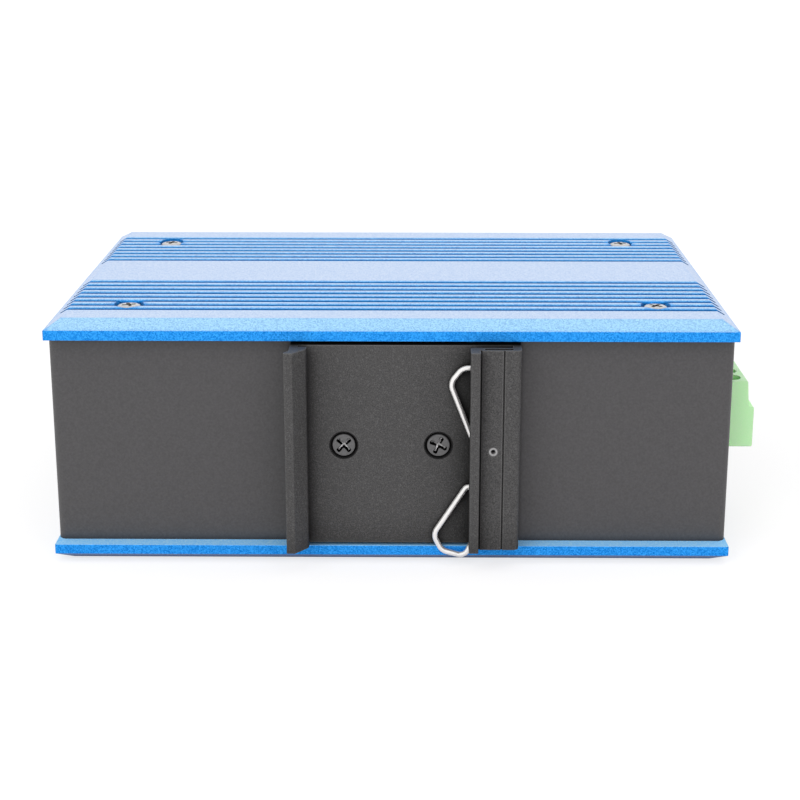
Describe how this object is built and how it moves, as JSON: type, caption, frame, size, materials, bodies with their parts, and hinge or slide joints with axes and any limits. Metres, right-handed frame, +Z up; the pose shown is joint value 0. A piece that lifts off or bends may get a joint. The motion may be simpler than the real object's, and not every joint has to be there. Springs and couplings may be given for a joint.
{
  "type": "din rail ethernet switch",
  "caption": "Industrial network switch with blue finned covers, a black sheet chassis, a rail clip with wire spring, front ports and a green power terminal.",
  "frame": {"origin": "centre of the footprint on the surface that the lower cover rests on", "axes": "+Z up through the two covers, +Y from the rail clip towards the ports, +X towards the power terminal"},
  "size_m": [0.1528, 0.1016, 0.0538],
  "materials": {
    "blue_anodised": "sandblasted and anodised blue, satin",
    "black_sheet": "smooth black powder coat, satin",
    "black_anodised": "black anodised extrusion, fine matt grain",
    "plain_screw": "nickel plated, bright",
    "black_screw": "black zinc",
    "black_pin": "black, satin",
    "plated_steel": "zinc plated",
    "spring_wire": "drawn bright wire",
    "board_laminate": "green solder mask",
    "brass": "turned, bright",
    "gold_contact": "gold flashed",
    "tin_pin": "tinned",
    "jack_shell": "nickel plated shield",
    "black_moulding": "fine moulded matt",
    "green_moulding": "moulded, soft gloss",
    "light_pipe": "clear moulding",
    "lamp_body": "white lamp body",
    "soft_pad": "soft grey pad",
    "plain_aluminium": "milled",
    "ferrite": "dark ferrite",
    "can_sleeve": "black shrink sleeve"
  },
  "bodies": {
    "root": {"finned_cover_upper": "blue_anodised", "finned_cover_lower": "blue_anodised", "cover_screws_upper": "plain_screw", "cover_screws_lower": "plain_screw", "cover_nuts_upper": "plated_steel", "cover_nuts_lower": "plated_steel", "rear_chassis": "black_sheet", "front_panel": "black_sheet", "panel_screws_right": "black_screw", "panel_screws_left": "black_screw", "rail_clip": "black_anodised", "clip_screws": "black_screw", "clip_nuts": "plated_steel", "spring_pin": "black_pin", "rail_spring": "spring_wire", "main_board": "board_laminate", "board_standoffs": "brass", "board_screws": "plated_steel", "jack_contacts": "gold_contact", "sfp_connectors": "black_moulding", "led_light_pipes": "light_pipe", "status_leds": "lamp_body", "terminal_plug": "green_moulding", "terminal_screws": "plated_steel", "terminal_clamps": "plated_steel", "terminal_header": "green_moulding", "header_pins": "tin_pin", "switch_chip": "black_moulding", "thermal_pad": "soft_pad", "heat_block": "plain_aluminium", "power_inductor": "ferrite", "isolation_transformer": "ferrite", "alarm_relay": "black_moulding", "capacitors": "can_sleeve", "ground_screw": "plain_screw", "ground_washer": "plated_steel", "ground_nut": "plated_steel", "rj45_jack_1": "jack_shell", "rj45_jack_2": "jack_shell", "rj45_jack_3": "jack_shell", "rj45_jack_4": "jack_shell", "sfp_cage_1": "plated_steel", "sfp_cage_2": "plated_steel"}
  },
  "joints": []
}
